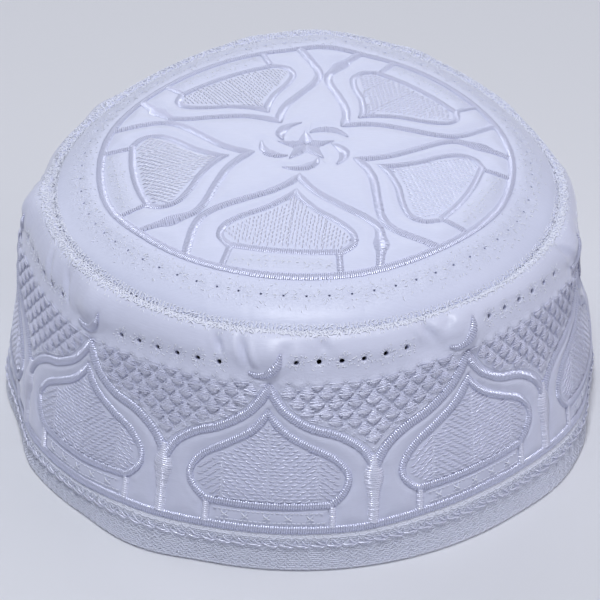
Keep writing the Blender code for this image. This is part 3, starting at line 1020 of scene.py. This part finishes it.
# Materials
def new_material(name, surface):
    material = bpy.data.materials.new(name)
    material.use_nodes = True
    shader = material.node_tree.nodes["Principled BSDF"]
    for key, value in surface.items():
        shader.inputs[key].default_value = value
    return material, material.node_tree, shader


def colour_with_painted_shade(tree, shader, colour, pattern, least, normal):
    """Colours a surface, a little darker where its pattern is low as painted shade in its hollows,
    and bumps it.
    """
    shade = add_node(tree, "ShaderNodeMapRange",
                     {"Value": pattern, "From Min": 0.3, "From Max": 0.7,
                      "To Min": least, "To Max": 1.0})
    coloured = add_node(tree, "ShaderNodeMix", {0: 1.0, 6: linear(colour), 7: shade.outputs[0]},
                    data_type="RGBA", blend_type="MULTIPLY")
    tree.links.new(coloured.outputs[2], shader.inputs["Base Color"])
    tree.links.new(normal, shader.inputs["Normal"])


def woven_cloth(name, colour, patterns, shaded_by, least, surface):
    """Cloth whose patterns lie over one another as bumps, and one of which also darkens its colour
    where it is low, as painted shade.

    Patterns are (repeats in a metre, roughness, bump strength, bump distance). A strength of
    None follows how broken the surface is.
    """
    material, tree, shader = new_material(name, surface)
    cloth = add_node(tree, "ShaderNodeUVMap", uv_map="cloth")
    heights = []
    below = {}
    for scale, rough, strength, distance in patterns:
        scaled = add_node(tree, "ShaderNodeMapping", {"Vector": cloth.outputs[0], "Scale": scale})
        noise = add_node(tree, "ShaderNodeTexNoise",
                         {"Vector": scaled.outputs[0], "Scale": 1.0, "Detail": 2.0,
                          "Roughness": rough})
        if strength is None:
            quilted = add_node(tree, "ShaderNodeAttribute", attribute_name="quilted")
            strength = quilted.outputs["Fac"]
        bump = add_node(tree, "ShaderNodeBump",
                        {"Strength": strength, "Distance": distance,
                         "Height": noise.outputs[0], **below})
        below = {"Normal": bump.outputs[0]}
        heights.append(noise.outputs[0])
    colour_with_painted_shade(tree, shader, colour, heights[shaded_by], least, below["Normal"])
    return material


def satin_cloth(name, colour, dull):
    """White polyester satin, woven with long floats.

    It looks smooth and milky, with faint level streaks from the weave, soft waves where the
    quilting pulls, and a broken surface where it is closely stitched.
    """
    # Waves 7.7 mm long. Streaks 2.9 by 0.4 mm and flecks 1.1 by 0.5 mm: the floats of real
    # satin are about 0.1 mm apart, too fine to show, and are drawn as coarse as this.
    patterns = (((130.0, 130.0, 130.0), 0.5, 0.6, 0.0007),
                ((350.0, 2600.0, 1.0), 0.5, 0.35, 0.0001),
                ((900.0, 2000.0, 1.0), 0.7, None, 0.0004))
    # The streaks also darken the colour by up to 3.5 % where they are low: painted shade.
    return woven_cloth(name, colour, patterns, 1, 0.965,
                       {"Roughness": dull, "Sheen Weight": 0.25, "Sheen Roughness": 0.4,
                        "Specular IOR Level": 0.5})


def cotton_cloth(name, colour):
    """White cotton twill of the folded rim, closely sewn over.

    It is duller than the satin, with a fine level rib from the rows of sewing under it.
    """
    # Ribs 1.1 by 0.45 mm
    # The ribs also darken the colour by up to 6 % in their hollows: painted shade.
    return woven_cloth(name, colour, (((900.0, 2200.0, 1.0), 0.5, 0.5, 0.00025),), 0, 0.94,
                       {"Roughness": 0.6, "Sheen Weight": 0.3})


def twisted_thread(name, colour, dull, lustre):
    """White two-ply thread: shiny rayon, or dull spun cotton without lustre.

    Each strand catches the light along its bow, and fine twist, 0.24 mm long, breaks the
    shine up.
    """
    material, tree, shader = new_material(name, {"Roughness": dull, "Metallic": lustre,
                                                 "Specular IOR Level": 1.0})
    here = add_node(tree, "ShaderNodeTexCoord")
    twist = add_node(tree, "ShaderNodeTexNoise",
                     {"Vector": here.outputs["Object"], "Scale": 4200.0, "Detail": 2.0})
    twist_bump = add_node(tree, "ShaderNodeBump",
                          {"Strength": 0.45, "Distance": 0.00006, "Height": twist.outputs[0]})
    # The twist also darkens the colour by up to 7 % where it is low: painted shade.
    colour_with_painted_shade(tree, shader, colour, twist.outputs[0], 0.93, twist_bump.outputs[0])
    return material


# Pieces
SATIN = {"Turn": radians(84.0), "Steps": 4, "Sides": 4}


def side_satin_lines(material, lighter_thread_copy):
    """The raised lines of the side in the darker copy of the thread, painted shade, and its
    upright stems and posts, which catch more light, in the lighter copy, painted light.
    """
    upright = ("stem", "post_left", "post_right")
    guides = [line_guide(SIDE, flat, middle, 0.12, 1.1) for middle in BAY_BEARINGS
              for name, flat in side_drawn.items() if name not in upright]
    guides.append(round_line(bare_side, HEM_LINE_UP, 0.15, 1.0))
    lines = lay_stitches("side_satin_lines", guides, material, Pitch=0.00068, Length=0.0023,
                         Thread=0.00040, Rise=0.00064, Sink=0.0003, Spread=2.1, Square=1.1,
                         **SATIN)
    wide = [line_guide(SIDE, side_drawn[name], middle, 0.12, 1.6)
            for middle in BAY_BEARINGS for name in upright]
    stems = lay_stitches("side_satin_stems", wide, lighter_thread_copy, Pitch=0.00066,
                         Length=0.0033, Thread=0.00048, Rise=0.0009, Sink=0.0003, Spread=2.0,
                         Square=0.8, **SATIN)
    return lines, stems


def crown_satin_lines(material):
    guides = [line_guide(CROWN, flat, middle, 0.12, 1.1)
              for middle in MOTIF_BEARINGS for flat in crown_drawn.values()]
    guides.append(round_line(bare_crown, CROWN_RING_RADIUS, 0.15, 0.9))
    return lay_stitches("crown_satin_lines", guides, material, Pitch=0.00060, Length=0.0026,
                        Thread=0.00036, Rise=0.00030, Sink=0.0002, Spread=2.0, Square=0.4,
                        **SATIN)


def side_fills(material):
    splits = np.array([-8.2, 0.4, 9.8]) * SIDE_MM_PER_DEGREE
    fills = fill_stitches(side_dome, side_dome_lines, splits, (24.0, -10.0, 8.0, -22.0),
                          23.4, 50.0, 1.1, 2.4)
    guides = [single_guides(SIDE, *fills, middle, 0.05) for middle in BAY_BEARINGS]
    return lay_stitches("side_dome_fills", guides, material, Length=0.0024, Thread=0.00040,
                        Rise=0.00034, Sink=0.0002, Jitter=0.24, Spread=1.6)


def crown_fills(material):
    fills = fill_stitches(crown_dome, crown_dome_lines, (-10.0, 0.0, 10.0),
                          (98.0, 87.0, 93.0, 82.0), -50.8, -25.0, 1.05, 1.8, upright=True)
    guides = [single_guides(CROWN, *fills, middle, 0.03) for middle in MOTIF_BEARINGS]
    return lay_stitches("crown_dome_fills", guides, material, Length=0.0018, Thread=0.00034,
                        Rise=0.00020, Sink=0.00016, Jitter=0.2, Spread=1.9)


def quilting_stitches(material):
    """The crossing lines of the diamonds, sewn in running stitches in their valleys."""
    guides = []
    lines = lattice_lines()
    lines += [offset_line(side_drawn["arch_left"][12:-14], -2.1),
              offset_line(side_drawn["arch_right"][12:-26], 2.1)]
    for middle in BAY_BEARINGS:
        for flat in lines:
            place, out = on_side(*side_spot(flat, middle), 0.05)
            guides.append((place, out, np.ones(len(flat)), None))
    return lay_stitches("side_quilting_stitches", guides, material, Pitch=0.0019,
                        Length=0.0017, Thread=0.00026, Rise=0.00012, Sink=0.0001, Steps=2)


def diamond_threads(material):
    """The level threads that fill the diamonds, each from one quilting line to the next."""
    spots = []
    random = np.random.default_rng(11)
    steps = np.arange(-30, 31)
    for level in np.arange(LATTICE_FOOT, LATTICE_TOP, 0.42):
        ends = np.concatenate((steps - level / DIAMOND_HEIGHT, steps + level / DIAMOND_HEIGHT))
        ends = np.sort(ends * DIAMOND_WIDTH)
        middles = 0.5 * (ends[1:] + ends[:-1])
        for across, span in zip(middles, np.diff(ends)):
            if span > 1.2 and abs(across) <= half_bay:
                spots.append((across, level, span - 0.7))
    spots = np.array(spots)
    over_arch = spots[:, 1] > np.interp(spots[:, 0], side_arch[:, 0], side_arch[:, 1])
    spots = spots[over_arch & (nearest(spots[:, :2], side_arch, False)[0] > 2.4)]
    guides = []
    for middle in BAY_BEARINGS:
        kept = spots[random.uniform(0.0, 3.0, len(spots)) < LATTICE_TOP + 0.6 - spots[:, 1]]
        flat = kept[:, :2] + random.uniform(-0.06, 0.06, (len(kept), 2))
        slants = random.normal(0.0, 0.07, len(kept))
        reach = kept[:, 2] / 3.0 * random.uniform(0.86, 1.0, len(kept))
        guides.append(single_guides(SIDE, flat, slants, reach, middle, -0.04))
    return lay_stitches("side_diamond_threads", guides, material, Length=0.0030,
                        Thread=0.00030, Rise=0.00015, Sink=0.0001, Jitter=0.05, Spread=1.5,
                        Steps=2)


def small_side_stitches(material):
    """The flecks round the eyelets, and the marks in the strip under the dome."""
    guides = []
    random = np.random.default_rng(5)
    for number in range(24):
        angle = radians(15.0 * number) + random.uniform(-0.3, 0.3, len(EYELETS))
        away = random.uniform(1.0, 3.2, len(EYELETS))
        flat = np.column_stack((EYELETS[:, 0] * SIDE_MM_PER_DEGREE + away * np.cos(angle),
                                EYELETS[:, 1] + away * np.sin(angle)))
        guides.append(single_guides(SIDE, flat, angle + random.uniform(-1.2, 1.2, len(flat)),
                                    random.uniform(0.2, 0.42, len(flat)), 0.0, -0.04))
    marks = [(across, 17.9, angle, 1.1) for across in (-10.8, -5.2, 0.6, 6.4, 12.2)
             for angle in (40.0, 140.0)]
    for across in np.arange(-13.4, 16.0, 1.3):
        marks += [(across, 19.6, 0.0, 0.45), (across + 0.6, 16.2, 0.0, 0.45)]
    marks = np.array(marks)
    guides += [single_guides(SIDE, marks[:, :2], np.radians(marks[:, 2]), marks[:, 3],
                             middle, 0.10) for middle in BAY_BEARINGS]
    return lay_stitches("side_small_stitches", guides, material, Length=0.0022,
                        Thread=0.00034, Rise=0.00030, Sink=0.0001, Jitter=0.12, Spread=1.5)


def seam_stitches(material):
    """The close tangle of threads over the seam, and the row of pointed stitches under it."""
    edge = 1000.0 * WALL_LENGTH
    random = np.random.default_rng(13)
    guides = [level_singles(edge - 1.9, 1.3, (58.0, -56.0), 0.75, 0.05, 0.3)]
    for shift, angle in ((0.0, 68.0), (0.28, -68.0)):
        guides.append(level_singles(edge - 3.6, 4.4, (angle,), 0.6, -0.1, shift))
    for row in range(6):
        bearing = np.arange(0.0, 360.0, 0.72) + random.uniform(-0.3, 0.3, 500)
        up = edge - 0.1 - 0.48 * row + random.uniform(-0.25, 0.25, 500)
        flat = np.column_stack((bearing * SIDE_MM_PER_DEGREE, up))
        guides.append(single_guides(SIDE, flat, random.uniform(-1.4, 1.4, 500),
                                    random.uniform(0.4, 0.75, 500), 0.0,
                                    0.3 if row == 0 else 0.05))
    bearing = np.arange(0.0, 360.0, 0.9)
    for row, proud in enumerate((0.25, 0.1, 0.0)):
        out = 1000.0 * SEAM_RADIUS - 0.2 - 0.55 * row + random.uniform(-0.15, 0.15, 400)
        place, up = on_crown(bearing, out, proud)
        ahead, _ = on_crown(bearing + 1.0, out, proud)
        around = unit(ahead - place)
        slant = random.uniform(0.3, 2.8, (400, 1))
        guides.append((place, up, random.uniform(0.4, 0.7, 400),
                       around * np.cos(slant) + np.cross(up, around) * np.sin(slant)))
    return lay_stitches("seam_stitches", guides, material, Length=0.0024, Thread=0.00034,
                        Rise=0.00026, Sink=0.0002, Jitter=0.3, Spread=1.6, Steps=2)


def crown_small_stitches(material):
    """The flecks round the crown's eyelets, and the marks in the strip under its dome."""
    guides = []
    bearings = CROWN_EYELET_BEARINGS
    random = np.random.default_rng(8)
    centres, _ = on_crown(bearings, np.full(CROWN_EYELETS, CROWN_EYELET_RADIUS), 0.03)
    for number in range(18):
        angle = radians(20.0 * number) + random.uniform(-0.4, 0.4, CROWN_EYELETS)
        away = random.uniform(1.0, 4.4, CROWN_EYELETS)
        turn = bearings + np.degrees(away * np.cos(angle) / CROWN_EYELET_RADIUS)
        place, up = on_crown(turn, CROWN_EYELET_RADIUS + away * np.sin(angle), 0.03)
        guides.append((place, up, random.uniform(0.2, 0.5, CROWN_EYELETS),
                       unit(place - centres)))
    marks = [(across, -56.4, 0.0, 0.45) for across in np.arange(-13.2, 13.5, 2.2)]
    marks += [(random.uniform(-14.5, 14.5), random.uniform(-59.4, -54.0),
               random.uniform(0.0, 180.0), 0.35) for _ in range(40)]
    marks = np.array(marks)
    guides += [single_guides(CROWN, marks[:, :2], np.radians(marks[:, 2]), marks[:, 3],
                             middle, 0.0) for middle in MOTIF_BEARINGS]
    return lay_stitches("crown_small_stitches", guides, material, Length=0.0022,
                        Thread=0.00030, Rise=0.00024, Sink=0.0001, Jitter=0.8, Spread=1.3,
                        Steps=2)


def rim_stitches(material, lighter_thread_copy):
    """The notched row under the hem line and the close herringbone rows below it."""
    rows = [level_singles(up, 1.2, (22.0, -22.0), 0.55, -0.04, 0.5 * (row % 2))
            for row, up in enumerate(np.arange(1.2, 12.5, 0.68))]
    fine = lay_stitches("rim_fine_stitches", rows, material, Length=0.0023, Thread=0.00030,
                        Rise=0.00022, Sink=0.0001, Jitter=0.4, Spread=1.5, Steps=2)
    edge = [level_singles(9.1, 4.2, (-9.0,), 1.6, 0.25),
            level_singles(9.8, 4.2, (-34.0,), 1.1, 0.3, 0.28),
            level_singles(8.6, 4.2, (12.0,), 1.0, 0.2, 0.3),
            level_singles(9.9, 4.2, (70.0,), 0.5, 0.2, 0.6)]
    notched = lay_stitches("rim_edge_stitches", edge, lighter_thread_copy, Length=0.0023,
                           Thread=0.00038, Rise=0.00046, Sink=0.00015, Jitter=0.15,
                           Spread=1.4, Steps=4, Sides=4)
    return fine, notched


def floor_and_light():
    mesh = bpy.data.meshes.new("floor")
    mesh.from_pydata([(-3.0, -3.0, 0.0), (3.0, -3.0, 0.0), (3.0, 3.0, 0.0), (-3.0, 3.0, 0.0)],
                     [], [(0, 1, 2, 3)])
    floor = add_object("floor", mesh)
    material, _, _ = new_material("pale_paper_floor", {"Base Color": linear("#DCDDE3"),
                                                       "Roughness": 0.8})
    mesh.materials.append(material)
    for name, place, size, power, colour in (
            ("key", (-0.03, -0.447, 1.163), 0.20, 8.8, (0.94, 0.965, 1.0)),
            ("left", (-1.0, 0.6, 0.9), 0.9, 3.2, (0.94, 0.965, 1.0)),
            ("right", (1.0, -0.1, 0.75), 0.9, 2.6, (1.0, 0.96, 1.0)),
            ("front", (0.0, -1.3, 0.15), 0.9, 0.5, (0.95, 0.965, 1.0)),
            ("back", (0.0, 1.3, 0.75), 1.2, 4.8, (0.95, 0.965, 1.0))):
        light = bpy.data.lights.new(name, "AREA")
        light.size = size
        light.energy = power
        light.color = colour
        lamp = add_object(name, light)
        lamp.location = place
        lamp.rotation_euler = (Vector((0.0, 0.0, 0.05)) - lamp.location).to_track_quat(
            "-Z", "Y").to_euler()
    world = bpy.data.worlds.new("studio")
    world.use_nodes = True
    world.node_tree.nodes["Background"].inputs["Color"].default_value = linear("#DFE2EE")
    world.node_tree.nodes["Background"].inputs["Strength"].default_value = 0.195
    bpy.context.scene.world = world
    bpy.context.scene.view_settings.view_transform = "Standard"


set_camera()
STITCHES = stitch_tree()

# The side's and the crown's satin are one cloth; their two copies differ only in tone, each set to
# how bright it comes out under the lamps: painted light and shade.
side_material = satin_cloth("white_satin_side", "#D8DBF1", 0.42)
crown_material = satin_cloth("white_satin_crown", "#D9DDF4", 0.42)
# One white rayon thread in three tones. The lighter copy, for fills, diamonds, stems, posts and
# the notched rim row, is painted light. The darker satin-stitch copy paints shade on the bodies of
# the lines. The crown's copy is toned darker for the crown's lines, as painted shade.
lighter_painted_thread = twisted_thread("white_rayon_thread_painted_light", "#E7E9FC", 0.32, 0.3)
darker_painted_thread = twisted_thread("white_satin_stitch_painted_shade", "#D4D7EE", 0.31, 0.4)
crown_thread_material = twisted_thread("white_crown_thread_painted_shade", "#DBDEF6", 0.35, 0.36)
# The spun thread and the rim's cotton are white, and their tones are set near the top to make up
# for the little light that reaches the upright rim: partly their own white, partly painted light.
spun_material = twisted_thread("white_spun_thread", "#ECEFFE", 0.45, 0.0)
rim_material = cotton_cloth("white_cotton_rim", "#F1F3FF")

side = side_cloth(side_material)
crown = crown_cloth(crown_material)
rim = rim_cloth(rim_material)
places, outs = on_side(EYELETS[:, 0], EYELETS[:, 1])
pierced(side, places, outs, EYELET_WIDTH)
places, outs = on_crown(CROWN_EYELET_BEARINGS, np.full(CROWN_EYELETS, CROWN_EYELET_RADIUS))
pierced(crown, places, outs, CROWN_EYELET_WIDTH)

side_pieces = [*side_satin_lines(darker_painted_thread, lighter_painted_thread), side_fills(lighter_painted_thread),
               quilting_stitches(spun_material), diamond_threads(lighter_painted_thread),
               small_side_stitches(spun_material), seam_stitches(spun_material)]
crown_pieces = [crown_satin_lines(crown_thread_material), crown_fills(lighter_painted_thread),
                crown_small_stitches(spun_material)]
rim_pieces = [*rim_stitches(spun_material, lighter_painted_thread)]

for cloth, node, slot, trims in ((side, "side_wall", "side_satin", side_pieces),
                                 (crown, "crown_panel", "crown_satin", crown_pieces),
                                 (rim, "rim_band", "rim_cotton", rim_pieces)):
    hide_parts(node)
    for piece in (cloth, *trims):
        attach(piece, "root")

floor_and_light()
